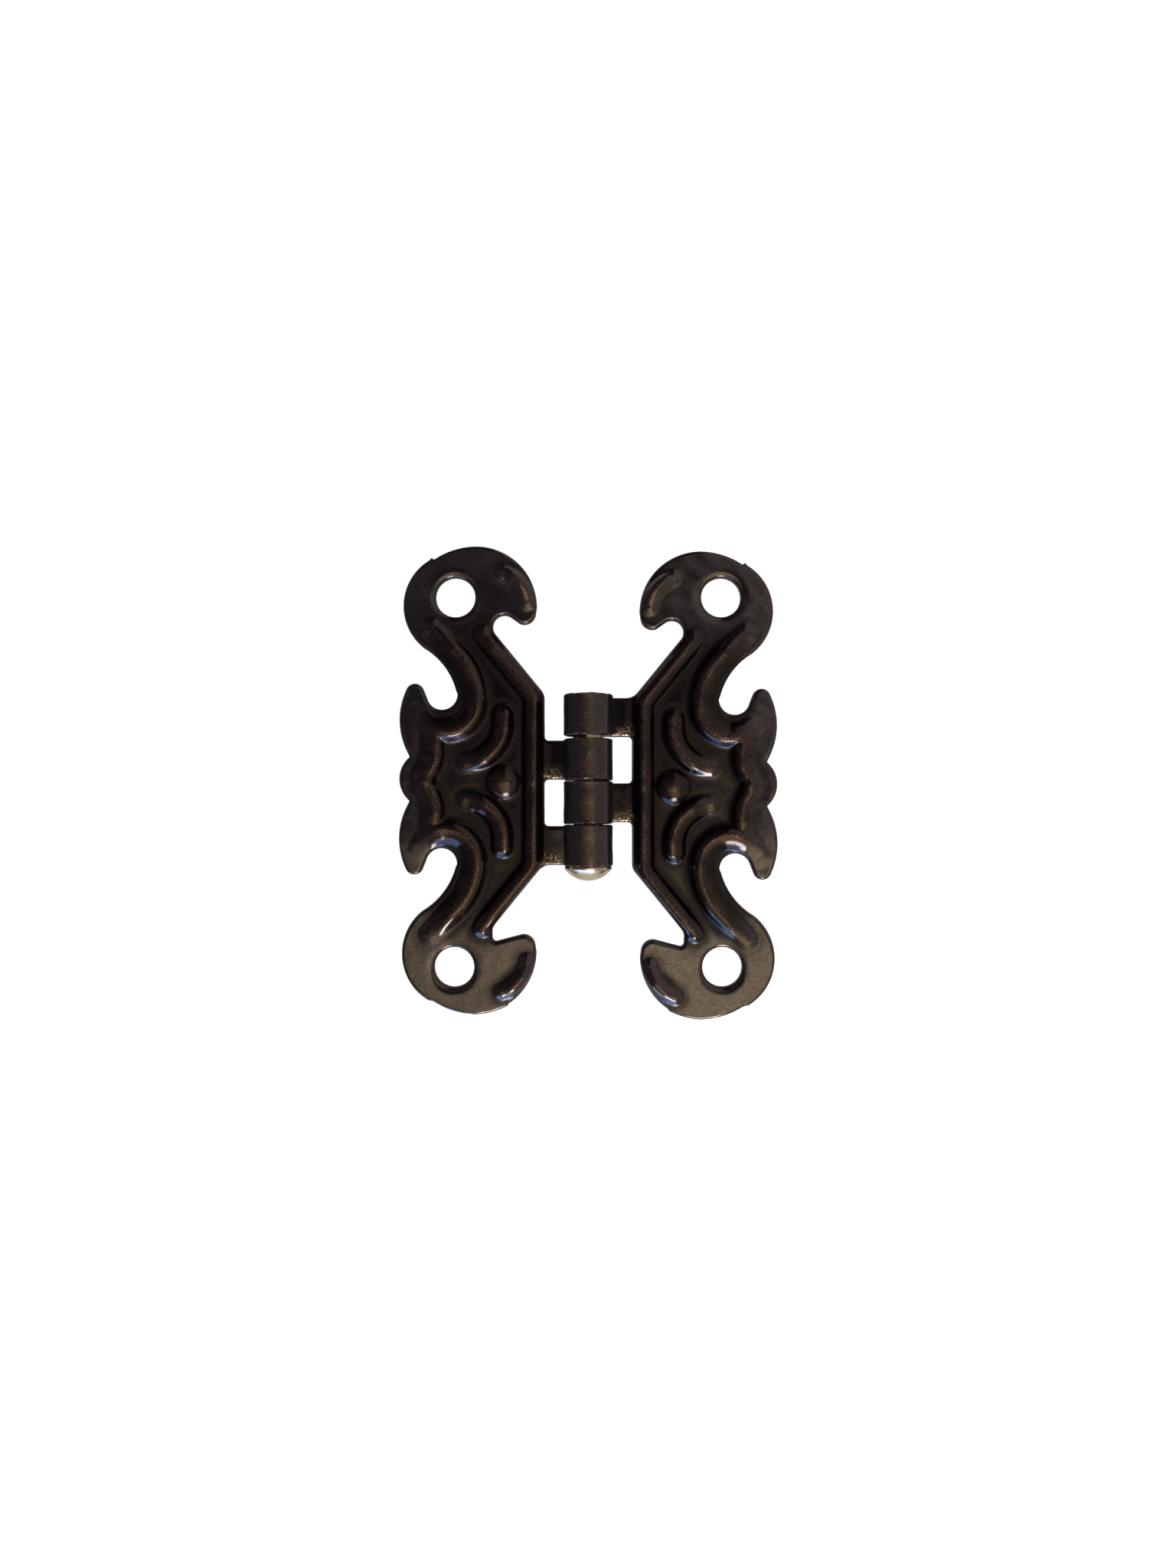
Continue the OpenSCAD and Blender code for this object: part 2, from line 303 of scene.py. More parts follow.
def blank_outline(knuckles, shift, tab_side):
    """Closed loop of the flat blank, counterclockwise: the leaf with its tabs unrolled towards -u."""
    lower = [(u, -v + shift) for u, v in half_outline(False, tab_side < 0)]
    upper = [(u, v + shift) for u, v in reversed(half_outline(True, tab_side > 0))]
    loop = lower + upper
    root = INNER_EDGE - TAB_FILLET
    for low in sorted(knuckles, reverse=True):
        top = low + KNUCKLE_W
        if top < BARREL_END - TAB_FILLET:
            loop += arc((root, top + TAB_FILLET), TAB_FILLET, 0, -90, FILLET_STEP)
        loop += rolled_side(top, 1, low) + rolled_side(low, -1 if low > -BARREL_END else 0, low)[::-1]
        if low > TAB_FILLET - BARREL_END:
            loop += arc((root, low - TAB_FILLET), TAB_FILLET, 90, 0, FILLET_STEP)
    return resampled(np.array(loop), EDGE_STEP)


def rolled_side(v, outward, phase):
    """One end of a knuckle, from its tab to the tip of the strip: a little wavy.
    The highest gap, one pitch above the middle, is left open so that the pin shows."""
    points = []
    outward *= SHOWN_GAP_SHARE if abs(v - PITCH) < KNUCKLE_GAP else 1.0
    for u in np.linspace(0, -STRIP, ROLL_POINTS):
        slow = SLOW_WAVE * math.sin(SLOW_RATE * u + phase * 5)
        fast = FAST_WAVE * math.sin(FAST_RATE * u + phase * 9)
        points.append((u, v + outward * (END_SWELL + slow + fast) * min(1.0, -u / SWELL_REACH)))
    return points


def resampled(loop, step, doubled=0.02, slack=0.2):
    """The closed loop with its corners kept, doubled points dropped and its long sides cut to about one
    step, or a little longer by the slack."""
    points = []
    for a, b in zip(loop, np.roll(loop, -1, axis=0)):
        length = math.hypot(*(b - a))
        if length < doubled:
            continue
        n = max(1, math.ceil(length / step - slack))
        points += [a + (b - a) * i / n for i in range(n)]
    return np.array(points)


# ---------------------------------------------------------------- beads and points
def bead_path(start, heading, stretches, step=0.1):
    x, y = start
    h = math.radians(heading)
    points = [(x, y)]
    for s in stretches:
        if len(s) == 1:
            n = max(1, math.ceil(s[0] / step))
            for i in range(1, n + 1):
                points.append((x + s[0] * i / n * math.cos(h), y + s[0] * i / n * math.sin(h)))
        else:
            r, turn = s[0], math.radians(s[1])
            side = 1 if turn > 0 else -1
            cx, cy = x - side * r * math.sin(h), y + side * r * math.cos(h)
            n = max(2, math.ceil(abs(turn) * r / step))
            for i in range(1, n + 1):
                a = h + turn * i / n
                points.append((cx + side * r * math.sin(a), cy - side * r * math.cos(a)))
            h += turn
        x, y = points[-1]
    return np.array(points)


def to_segments(p, a, b, want_place=False):
    """Distance from each point p to the nearest of the segments a to b.
    With want_place, also how far along the line that is, from 0 to 1, and the side: 1 left, -1 right, and
    between the two round the line's ends."""
    best = np.full(len(p), 1e9)
    place = np.zeros(len(p))
    side = np.zeros(len(p))
    ab = b - a
    ll = (ab**2).sum(1)
    for i in range(0, len(p), CHUNK):
        part = slice(i, i + CHUNK)
        q = p[part, None] - a[None]
        t = np.clip((q * ab[None]).sum(2) / ll[None], 0, 1)
        d = np.sqrt(((q - t[..., None] * ab[None]) ** 2).sum(2))
        k = d.argmin(1)
        row = np.arange(len(k))
        best[part] = d[row, k]
        place[part] = (k + t[row, k]) / len(a)
        near = q[row, k]
        across = (ab[k, 0] * near[:, 1] - ab[k, 1] * near[:, 0]) / np.sqrt(ll[k])
        side[part] = np.clip(across / np.maximum(best[part], 1e-6), -1, 1)
    return (best, place, side) if want_place else best


def thinned(groups):
    """Joins the groups of points, each with its least distance, the first ones first, and leaves out each
    point too near one already kept."""
    kept, cells = [], {}
    for points, least in groups:
        for p in points:
            c = (int(p[0] // CELL), int(p[1] // CELL))
            near = False
            for i in (-1, 0, 1):
                for j in (-1, 0, 1):
                    for q in cells.get((c[0] + i, c[1] + j), ()):
                        if (q[0] - p[0]) ** 2 + (q[1] - p[1]) ** 2 < least * least:
                            near = True
            if not near:
                kept.append(p)
                cells.setdefault(c, []).append(p)
    return np.array(kept)


def bead_rows(path, w):
    """Points along a bead's crest, flanks and foot, so that the mesh follows it."""
    length = np.r_[0, np.cumsum(np.hypot(*np.diff(path, axis=0).T))]
    s = np.linspace(0, length[-1], max(2, int(length[-1] / ROW_STEP)) + 1)
    centre = np.c_[np.interp(s, length, path[:, 0]), np.interp(s, length, path[:, 1])]
    along = np.gradient(centre, axis=0)
    along /= np.linalg.norm(along, axis=1)[:, None]
    across = np.c_[-along[:, 1], along[:, 0]]
    rows = []
    for k in BEAD_ROWS:
        for side in (1, -1) if k else (1,):
            rows.append(centre + across * side * k * w)
        if k:
            for end, direction in ((centre[0], -along[0]), (centre[-1], along[-1])):
                heading = math.degrees(math.atan2(direction[1], direction[0]))
                rows.append(np.array(arc(end, k * w, heading - 90, heading + 90, ROW_STEP)))
    return np.vstack(rows)


# ---------------------------------------------------------------- leaves
class Stamping:
    """One leaf as a flat blank in (u, v), u away from the barrel, with its heights and wear."""

    def __init__(self, knuckles, shift, tab_side, seed):
        self.knuckles, self.seed = sorted(knuckles), seed
        self.loop = blank_outline(knuckles, shift, tab_side)
        emboss_shift = shift - EMBOSSING_SLIP
        self.paths = []
        for name, start, heading, stretches, w_left, w_right, h in BEADS:
            path = bead_path(start, heading, stretches)
            for side in (1, -1):
                q = path * [1, side] + [0, emboss_shift]
                widths = (w_left, w_right) if side > 0 else (w_right, w_left)
                self.paths.append((name, side, q, widths, h))
        self.dome = np.array([DOME_AT[0], DOME_AT[1] + emboss_shift])
        self.holes = [np.array([HOLE_X, s * HOLE_Y]) for s in (1, -1)]

    def edge_distance(self, p):
        return to_segments(p, self.loop, np.roll(self.loop, -1, axis=0))

    def points(self):
        """Points of the blank: denser along its outline, round its holes and over its embossing."""
        loop = self.loop
        ahead = np.roll(loop, -1, axis=0) - loop
        ahead /= np.linalg.norm(ahead, axis=1)[:, None]
        normal = np.c_[-ahead[:, 1], ahead[:, 0]]
        inward = normal + np.roll(normal, 1, axis=0)
        inward /= np.maximum(np.linalg.norm(inward, axis=1), 0.3)[:, None]
        inside_loops = []
        for d in EDGE_LOOPS:
            q = loop + inward * d
            inside_loops.append(q[self.edge_distance(q) > 0.9 * d])
        rims = [ring(c, HOLE_R + d, HOLE_POINTS, d * 7) for c in self.holes for d in HOLE_ROWS]
        rows = [bead_rows(path, max(widths)) for _, _, path, widths, _ in self.paths]
        rows += [ring(self.dome, r, max(1, int(2 * math.pi * r / ROW_STEP))) for r in DOME_ROWS]
        low, high = loop.min(0), loop.max(0)
        us = np.arange(low[0], high[0], GRID_STEP)
        vs = np.arange(low[1], high[1], GRID_STEP * math.sqrt(3) / 2)
        grid = np.array([(u + (j % 2) * GRID_STEP / 2, v) for j, v in enumerate(vs) for u in us])
        inner = np.vstack(rows)
        grid = grid[self.inside(grid)]
        inner = inner[self.inside(inner)]
        grid = grid[self.edge_distance(grid) > GRID_CLEARANCE]
        inner = inner[self.edge_distance(inner) > ROW_CLEARANCE]
        groups = [(loop, 0.0), (np.vstack(rims), RIM_APART)]
        groups += [(q, LOOP_APART) for q in inside_loops]
        groups += [(inner, ROW_APART), (grid, GRID_APART)]
        everything = thinned(groups)
        for c in self.holes:
            r = np.hypot(*(everything - c).T)
            everything = everything[r > HOLE_R - 1e-6]
        return everything

    def inside(self, p):
        """Whether each point is inside the outline, by the even-odd rule."""
        a, b = self.loop[None], np.roll(self.loop, -1, axis=0)[None]
        out = np.zeros(len(p), bool)
        for i in range(0, len(p), CHUNK):
            u, v = p[i : i + CHUNK, 0, None], p[i : i + CHUNK, 1, None]
            crosses = (a[..., 1] > v) != (b[..., 1] > v)
            with np.errstate(divide="ignore", invalid="ignore"):
                at = a[..., 0] + (v - a[..., 1]) / (b - a)[..., 1] * (b - a)[..., 0]
            out[i : i + CHUNK] = (crosses & (u < at)).sum(1) % 2 == 1
        return out

    def triangles(self, p):
        """Triangles of the blank between its outline and its two holes."""
        n = len(self.loop)
        edges = [(i, (i + 1) % n) for i in range(n)]
        verts, _, faces, _, _, _ = delaunay_2d_cdt([Vector(q) for q in p], edges, [], 1, 1e-6)
        q = np.array([tuple(v) for v in verts])
        tris = np.array([f for f in faces if len(f) == 3])
        middle = q[tris].mean(1)
        keep = np.ones(len(tris), bool)
        for c in self.holes:
            keep &= np.hypot(*(middle - c).T) > HOLE_R - 0.01
        tris = tris[keep]
        e1, e2 = q[tris[:, 1]] - q[tris[:, 0]], q[tris[:, 2]] - q[tris[:, 0]]
        flip = e1[:, 0] * e2[:, 1] - e1[:, 1] * e2[:, 0] < 0
        tris[flip] = tris[flip][:, ::-1]
        return q, tris

    def beads(self, p):
        """Height of the beads and depth of their hollows at each point, and how much of a crest, a crease,
        a grimy foot with painted shade, or painted shade beside the beads it is."""
        raised, hollow, crest, crease, grime_and_shade, painted_shade = np.zeros((6, len(p)))
        for k, (name, side, path, widths, h) in enumerate(self.paths):
            near = ((p > path.min(0) - BEAD_REACH) & (p < path.max(0) + BEAD_REACH)).all(1)
            dist, place, left = to_segments(p[near], path[:-1], path[1:], True)
            first, last = ENDS[name]
            fade = smooth_step(place, 1 - last[0], 1) * last[1]
            fade += smooth_step(1 - place, 1 - first[0], 1) * first[1]
            w = (widths[1] + (widths[0] - widths[1]) * (0.5 + 0.5 * left)) * (1 - 0.2 * fade)
            # The sharp line is along the frame bead's outer foot, and along the others' hollow one.
            creased_side = side if name != "frame" else -side
            marked = smooth_step(left * creased_side, 0.2, 0.9) * (name in CREASED)
            t = dist / w
            soft = soft_ridge(t)
            up = h * (1 - fade) * (soft + (crisp_ridge(t) - soft) * marked)
            raised[near] = blended_max(raised[near], up, BEAD_VALLEY)
            behind = BEAD_HOLLOW_D * h / BEAD_H * (1 - fade) * np.exp(-((dist / BEAD_HOLLOW_W) ** 2) * 1.1)
            # The crest is rubbed more in some places than in others.
            along = 0.75 + 0.25 * np.sin(place * 23 + k * 1.7) * np.sin(place * 9 + k)
            u, v = p[near].T
            # Painted shade in bands beside the bead, reaching further inside the panel that the beads
            # enclose.
            enclosed = 1 - smooth_step(np.abs(v), *PANEL_END_V) - smooth_step(u, *PANEL_END_U)
            reach = SHADE_REACH + PANEL_SHADE_REACH * np.maximum(enclosed, 0)
            shade = np.exp(-np.maximum(dist - w, 0) / reach)
            shade *= (1 - fade) * (name != "comma") * (1 - WING_SHARE * smooth_step(u, *WING_FROM))
            for field, value in (
                (hollow, behind),
                (crest, bell(t, CREST_SHARE) * along * (1 - 0.7 * fade)),
                (crease, bell(dist - CREASE_AT * w, CREASE_W) * marked * (1 - fade)),
                # Grime with painted shade at the bead's foot.
                (grime_and_shade, bell(dist - GRIME_AND_SHADE_AT * w, GRIME_AND_SHADE_W) * (1 - fade)),
                (painted_shade, shade),
            ):
                field[near] = np.maximum(field[near], value)
        return raised, hollow, crest, crease, grime_and_shade, painted_shade

    def surfaces(self, p):
        """Height of the front and back at each point of the blank, and what the material goes by: crest,
        edge with wear and painted shade, crease, painted shade, grimy feet with painted shade, worn and how
        high in the embossing it is."""
        raised, hollow, crest, crease, grime_and_shade, painted_shade = self.beads(p)
        r = np.hypot(*(p - self.dome).T)
        t = r / DOME_R
        ball = (DOME_R**2 + DOME_H**2) / (2 * DOME_H)
        cap = np.sqrt(np.maximum(ball**2 - r * r, 0)) - ball + DOME_H
        raised = blended_max(raised, softened(cap, 0.003) * (1 - smooth_step(t, 1.1, 1.4)), DOME_VALLEY)
        hollow = np.maximum(hollow, DOME_HOLLOW_D * bell(r, DOME_HOLLOW_W))
        crest = np.maximum(crest, bell(t, DOME_CREST_SHARE) * DOME_CREST)
        # Painted shade over the dome and round it, and grime with painted shade at its foot.
        painted_shade = np.maximum(painted_shade, np.exp(-(np.maximum(r - DOME_R, 0) / DOME_SHADE_REACH)))
        grime_and_shade = np.maximum(grime_and_shade, bell(r - DOME_GRIME_AND_SHADE_AT * DOME_R, DOME_GRIME_AND_SHADE_W))
        # Creases, and the grime with its painted shade, stay off what stands up.
        crease *= np.clip(1 - raised / CREASE_TOP, 0, 1)
        grime_and_shade *= np.clip(1.1 - raised / GRIME_AND_SHADE_TOP, 0, 1)
        rolled = 1 - smooth_step(p[:, 0], *FLAT_FROM)
        flat = 1 - rolled
        # The leaf's plate is a little uneven, and dished down towards its holes.
        waves = enumerate(PLATE_WAVES)
        wavy = sum(size * ripple(p, wavelength, self.seed + i) for i, (size, wavelength) in waves) * flat
        front = SHEET_T + (raised - CREASE_D * crease) * flat + wavy
        back = np.minimum(hollow, DEEPEST_HOLLOW) * flat + np.maximum(wavy, 0) * 0.5
        d = self.edge_distance(p)
        # Wear and painted shade along the edges and round the holes.
        edge = bell(d, EDGE_WEAR_AND_SHADE_W)
        for c in self.holes:
            r = np.hypot(*(p - c).T) - HOLE_R
            front -= rounded(r, HOLE_EASING) + HOLE_DISH * bell(r, HOLE_DISH_W)
            back += rounded(r, HOLE_BACK_EASING)
            edge = np.maximum(edge, bell(r, HOLE_WEAR_AND_SHADE_W))
        front_r = FLAT_FRONT_R * flat + ROLLED_FRONT_R * rolled
        back_r = FLAT_BACK_R * flat + ROLLED_BACK_R * rolled
        front -= rounded(np.minimum(d / front_r, 1), 1.0) * front_r
        back += rounded(np.minimum(d / back_r, 1), 1.0) * back_r
        back += self.roll_unevenness(p) * (1 - smooth_step(p[:, 0], -1.2, 0.4))
        # The tabs get painted shade, and their lower edges are worn bright beside the frame bead.
        painted_shade = np.maximum(painted_shade, TAB_SHADE * smooth_step(TAB_SHADE_END - p[:, 0], 0, TAB_SHADE_BLUR))
        worn = np.zeros(len(p))
        for y in self.knuckles:
            spread = np.where(p[:, 1] > y + TAB_WEAR_AT, TAB_WEAR_UP, TAB_WEAR_DOWN)
            along = smooth_step(p[:, 0], *TAB_WEAR_START) * (1 - smooth_step(p[:, 0], *TAB_WEAR_END))
            worn = np.maximum(worn, bell(p[:, 1] - y - TAB_WEAR_AT, spread) * along)
        height = np.clip(raised / BEAD_H, 0, 1) * flat
        return front, back, crest, edge, crease, painted_shade * flat, grime_and_shade * flat, worn, height

    def roll_unevenness(self, p):
        """How far a rolled knuckle's outside stands in from the full radius: less at its lips."""
        out = np.zeros(len(p))
        for i, y in enumerate(self.knuckles):
            on = (p[:, 1] > y - 0.01) & (p[:, 1] < y + KNUCKLE_W + 0.01)
            v = (p[on, 1] - y) / KNUCKLE_W
            lip = bell(v, 0.05) + bell(1 - v, 0.05)
            dent = ROLL_DENT + ROLL_RIPPLE * ripple(p[on] * [0.35, 1.0], 3.0, self.seed + 5 + i)
            out[on] = np.clip(dent * (1 - 0.8 * lip), 0, DEEPEST_DENT)
        return out

    def placed(self, u, v, z, mirror):
        """Rolls the strips u < 0 round the pin's axis, mirrors the left leaf, and turns mm into metres."""
        angle = np.clip(-u / MID_R, 0, None)
        radius = ROLL_R - z
        x = np.where(u < 0, -radius * np.sin(angle), u)
        height = np.where(u < 0, ROLL_R - radius * np.cos(angle), z)
        return np.c_[-x if mirror else x, v, height] * MM


def smooth_object(name, verts, faces, material, fields=None):
    """A smooth-shaded object that keeps its sharp corners, with the fields that its material reads."""
    mesh = bpy.data.meshes.new(name)
    mesh.from_pydata([tuple(v) for v in verts], [], faces)
    mesh.validate()
    mesh.update()
    for key, values in (fields or {}).items():
        attribute = mesh.attributes.new(key, "FLOAT", "POINT")
        attribute.data.foreach_set("value", values.astype(np.float32))
    mesh.shade_smooth()
    mesh.set_sharp_from_angle(angle=CORNER_ANGLE)
    mesh.materials.append(material)
    obj = bpy.data.objects.new(name, mesh)
    bpy.context.scene.collection.objects.link(obj)
    return obj


def leaf_object(name, stamping, mirror, material):
    """The leaf's front, back and the wall between them, rolled up into its knuckles."""
    p, tris = stamping.triangles(stamping.points())
    front, back, crest, edge, crease, painted_shade, grime_and_shade, worn, height = stamping.surfaces(p)
    n = len(p)
    # Boundary edges are those that only one triangle uses.
    directed = {}
    for a, b, c in tris:
        for e in ((a, b), (b, c), (c, a)):
            directed[e] = True
    border = [e for e in directed if (e[1], e[0]) not in directed]
    rim = np.array(sorted({e[0] for e in border}))
    place_in_rim = {i: k for k, i in enumerate(rim)}
    wall_from = np.tile(rim, WALL_ROWS)
    depths = np.repeat(np.arange(1, WALL_ROWS + 1), len(rim))
    wall_z = front[wall_from] + (back - front)[wall_from] * depths / (WALL_ROWS + 1)
    u, v = (np.r_[p[:, i], p[:, i], p[wall_from, i]] for i in (0, 1))
    z = np.r_[front, back, wall_z]
    faces = [tuple(t) for t in tris] + [(c + n, b + n, a + n) for a, b, c in tris]

    def level(i, k):
        if k == 0:
            return i
        if k > WALL_ROWS:
            return i + n
        return 2 * n + (k - 1) * len(rim) + place_in_rim[i]

    for a, b in border:
        for k in range(WALL_ROWS + 1):
            faces.append((level(b, k), level(a, k), level(a, k + 1), level(b, k + 1)))
    if mirror:
        faces = [f[::-1] for f in faces]
    # Over the barrel the leaf's back shows. It is rubbed along the top, a little left of it, and painted with
    # shade down the sides.
    tilt = (-p[:, 0] / MID_R - math.pi) * (-1 if mirror else 1)
    over = 1 - smooth_step(p[:, 0], -2.2, -0.6)
    rub = bell(tilt - RUB_AT, RUB_W) * over
    lip_wear = 0.8 * bell(stamping.edge_distance(p), LIP_WEAR_W) * over
    sides = (smooth_step(-tilt, *LEFT_SIDE) + smooth_step(tilt, *RIGHT_SIDE)) * over

    def field(on_front, on_back, on_wall=0.0):
        wanted = ((on_front, n), (on_back, n), (on_wall, len(wall_from)))
        return np.concatenate([np.broadcast_to(value, count) for value, count in wanted])

    fields = {
        "crest": field(crest, 0.0),
        "rub": field(0.0, rub),
        "worn": field(worn, lip_wear),
        "edge": field(edge, edge, edge[wall_from]),
        "crease": field(crease, 0.0),
        # Painted shade beside the beads, on the tabs and round the dome, weaker on the back.
        "painted_shade": field(painted_shade, 0.6 * painted_shade),
        # Grime with painted shade on the front, painted shade down the barrel's sides and on the walls.
        "grime_and_shade": field(grime_and_shade, 0.9 * sides, 0.4),
        "brown": field(height * (0.8 if mirror else 0.1), 0.0),
        "rolled": field(0.0, over),
    }
    return smooth_object(name, stamping.placed(u, v, z, mirror), faces, material, fields)


# ---------------------------------------------------------------- pin
def lathed(name, profile, around, material, axis_z):
    """A closed turned solid along Y: profile is (radius, y) from one end of the axis to the other, in mm."""
    verts, faces = [], []
    for r, y in profile[1:-1]:
        for i in range(around):
            t = 2 * math.pi * i / around
            verts.append((r * math.cos(t), y, r * math.sin(t) + axis_z))
    first, last = len(verts), len(verts) + 1
    verts += [(0, profile[0][1], axis_z), (0, profile[-1][1], axis_z)]
    rings = len(profile) - 2
    for k in range(rings - 1):
        for i in range(around):
            j = (i + 1) % around
            faces.append((k * around + i, k * around + j, (k + 1) * around + j, (k + 1) * around + i))
    for i in range(around):
        j = (i + 1) % around
        faces.append((first, j, i))
        faces.append((last, (rings - 1) * around + i, (rings - 1) * around + j))
    return smooth_object(name, [[MM * c for c in v] for v in verts], faces, material)


def pin_profile():
    """The pin from its rounded upper end down to the pole of its domed head."""
    top = BARREL_END - PIN_SET_BACK
    under = -BARREL_END
    dome = HEAD_H - HEAD_RIM
    sphere = (HEAD_R**2 + dome**2) / (2 * dome)
    centre = under - HEAD_H + sphere
    rounding = ((0.25, 0), (0.12, 0.04), (0.03, 0.13), (0, 0.25))
    points = [(0, top)] + [(PIN_R - inwards, top - down) for inwards, down in rounding]
    points += [(PIN_R, y) for y in np.linspace(top - 0.6, under + 0.1, 24)]
    points += [(PIN_R, under), (PIN_R + 0.06, under), (HEAD_R - 0.12, under), (HEAD_R - 0.03, under - 0.05)]
    points += [(HEAD_R, under - 0.12), (HEAD_R, under - HEAD_RIM + 0.06)]
    full = math.asin(HEAD_R / sphere)
    for t in np.linspace(0.985, 0.0, 22):
        a = full * t
        points.append((sphere * math.sin(a) if t else 0, centre - sphere * math.cos(a)))
    return points


# ---------------------------------------------------------------- materials
class Graph:
    """Short names for building a node tree."""

    def __init__(self, tree):
        self.tree = tree

    def node(self, kind, **settings):
        n = self.tree.nodes.new(kind)
        for key, value in settings.items():
            setattr(n, key, value)
        return n

    def link(self, a, b):
        self.tree.links.new(a, b)

    def feed(self, socket, value):
        """Gives a socket a number, a colour or another node's output."""
        if isinstance(value, (int, float)):
            socket.default_value = value
        elif isinstance(value, tuple):
            socket.default_value = (*value, 1.0)
        else:
            self.link(value, socket)

    def place(self):
        return self.node("ShaderNodeTexCoord").outputs["Object"]

    def camera_ray(self):
        return self.node("ShaderNodeLightPath").outputs["Is Camera Ray"]

    def attribute(self, name):
        return self.node("ShaderNodeAttribute", attribute_name=name).outputs["Fac"]

    def noise(self, vector, size_mm, detail, rough, distortion=0.0):
        n = self.node("ShaderNodeTexNoise")
        n.inputs["Scale"].default_value = 1 / (size_mm * MM)
        n.inputs["Detail"].default_value = detail
        n.inputs["Roughness"].default_value = rough
        n.inputs["Distortion"].default_value = distortion
        self.link(vector, n.inputs["Vector"])
        return n.outputs["Fac"]

    def ramp(self, value, low, high, to_low=0.0, to_high=1.0):
        n = self.node("ShaderNodeMapRange", interpolation_type="SMOOTHSTEP")
        n.inputs["From Min"].default_value = low
        n.inputs["From Max"].default_value = high
        n.inputs["To Min"].default_value = to_low
        n.inputs["To Max"].default_value = to_high
        self.link(value, n.inputs["Value"])
        return n.outputs["Result"]

    def maths(self, operation, a, b, clamp=False):
        n = self.node("ShaderNodeMath", operation=operation, use_clamp=clamp)
        for socket, value in zip(n.inputs, (a, b)):
            self.feed(socket, value)
        return n.outputs["Value"]

    def times(self, a, b, clamp=False):
        return self.maths("MULTIPLY", a, b, clamp)

    def plus(self, a, b, clamp=False):
        return self.maths("ADD", a, b, clamp)

    def less(self, a, b):
        return self.maths("SUBTRACT", a, b)

    def mix(self, factor, a, b):
        n = self.node("ShaderNodeMix", data_type="RGBA")
        for socket, value in ((n.inputs[0], factor), (n.inputs[6], a), (n.inputs[7], b)):
            self.feed(socket, value)
        return n.outputs[2]

    def bump(self, height, strength, distance_mm, normal=None):
        n = self.node("ShaderNodeBump")
        n.inputs["Strength"].default_value = strength
        n.inputs["Distance"].default_value = distance_mm * MM
        self.link(height, n.inputs["Height"])
        if normal is not None:
            self.link(normal, n.inputs["Normal"])
        return n.outputs["Normal"]


def new_material(name):
    """A node material, with its graph and its shader."""
    material = bpy.data.materials.new(name)
    material.use_nodes = True
    return material, Graph(material.node_tree), material.node_tree.nodes["Principled BSDF"]


def bronze_material():
    """Dark patina, with painted shade beside the beads, over the dome, on the tabs, at the edges, along the
    creases and down the barrel's sides, and rubbed to brown and brass on crests, edges, tabs and roll.
    """
    material, g, shader = new_material("oxidised_bronze")
    at = g.place()
    grain = g.noise(at, 0.13, 2.0, 0.7)
    mottle = g.noise(at, 0.36, 4.0, 0.75)
    blotch = g.noise(at, 1.1, 4.0, 0.62)
    cloud = g.noise(at, 6.5, 3.0, 0.55)
    specks = g.ramp(g.noise(at, 0.19, 3.0, 0.75, 0.4), 0.55, 0.64)
    flecks = g.ramp(g.noise(at, 0.24, 3.0, 0.7, 0.5), 0.50, 0.60)
    crest, edge, crease, painted_shade = (g.attribute(k) for k in ("crest", "edge", "crease", "painted_shade"))
    grime_and_shade, rub, worn, brown, rolled = (g.attribute(k) for k in ("grime_and_shade", "rub", "worn", "brown", "rolled"))
    rubbed_crest = g.times(crest, g.ramp(blotch, 0.30, 0.62, 0.45, 1.0))
    rubbed_roll = g.times(rub, g.ramp(blotch, 0.34, 0.58, 0.25, 1.0))
    specked = g.plus(g.plus(g.times(crest, 0.45), g.times(edge, 0.35)), g.times(rub, 0.34))
    colour = g.mix(g.ramp(cloud, 0.35, 0.65), (0.104, 0.093, 0.089), (0.126, 0.115, 0.108))
    # Each layer lies over the ones before it: how much it covers, and its colour.
    for cover, tint in (
        (g.ramp(blotch, 0.42, 0.7, 0.0, 0.5), (0.068, 0.055, 0.054)),
        (g.ramp(grain, 0.40, 0.60, 0.0, 0.6), (0.050, 0.041, 0.039)),
        (g.ramp(mottle, 0.42, 0.60, 0.0, 0.45), (0.052, 0.043, 0.040)),
        # Painted shade beside the beads, on the tabs, over the dome and round it.
        (g.times(painted_shade, 0.92), (0.015, 0.013, 0.013)),
        (g.times(rolled, 0.28), (0.034, 0.030, 0.031)),
        # Painted shade at the edges and round the holes.
        (g.times(edge, 0.5), (0.034, 0.028, 0.029)),
        # Grime with painted shade at the feet of the beads and the dome, and painted shade down the barrel's
        # sides and on the walls.
        (g.times(grime_and_shade, g.ramp(blotch, 0.3, 0.6, 0.6, 0.92)), (0.018, 0.014, 0.014)),
        (g.times(brown, g.ramp(cloud, 0.30, 0.62, 1.0, 0.45)), (0.060, 0.036, 0.031)),
        (rubbed_crest, (0.064, 0.041, 0.034)),
        (rubbed_roll, (0.074, 0.047, 0.040)),
        (g.times(specks, specked, True), (0.48, 0.33, 0.21)),
        (g.times(flecks, worn, True), (0.62, 0.44, 0.30)),
        # Painted shade along the pressed lines.
        (g.times(crease, 0.6), (0.03, 0.024, 0.022)),
    ):
        colour = g.mix(cover, colour, tint)
    g.link(colour, shader.inputs["Base Color"])
    rough = g.ramp(blotch, 0.3, 0.7, 0.07, 0.10)
    for cause, amount in (
        (rubbed_crest, 0.2),
        (g.plus(rubbed_roll, worn), 0.16),
        (grain, 0.05),
        (rolled, 0.1),
        (grime_and_shade, 0.3),
    ):
        rough = g.plus(rough, g.times(cause, amount))
    g.link(rough, shader.inputs["Roughness"])
    g.link(g.bump(blotch, 0.08, 0.03, g.bump(grain, 0.3, 0.016)), shader.inputs["Normal"])
    shader.inputs["Metallic"].default_value = 0.93
    return material


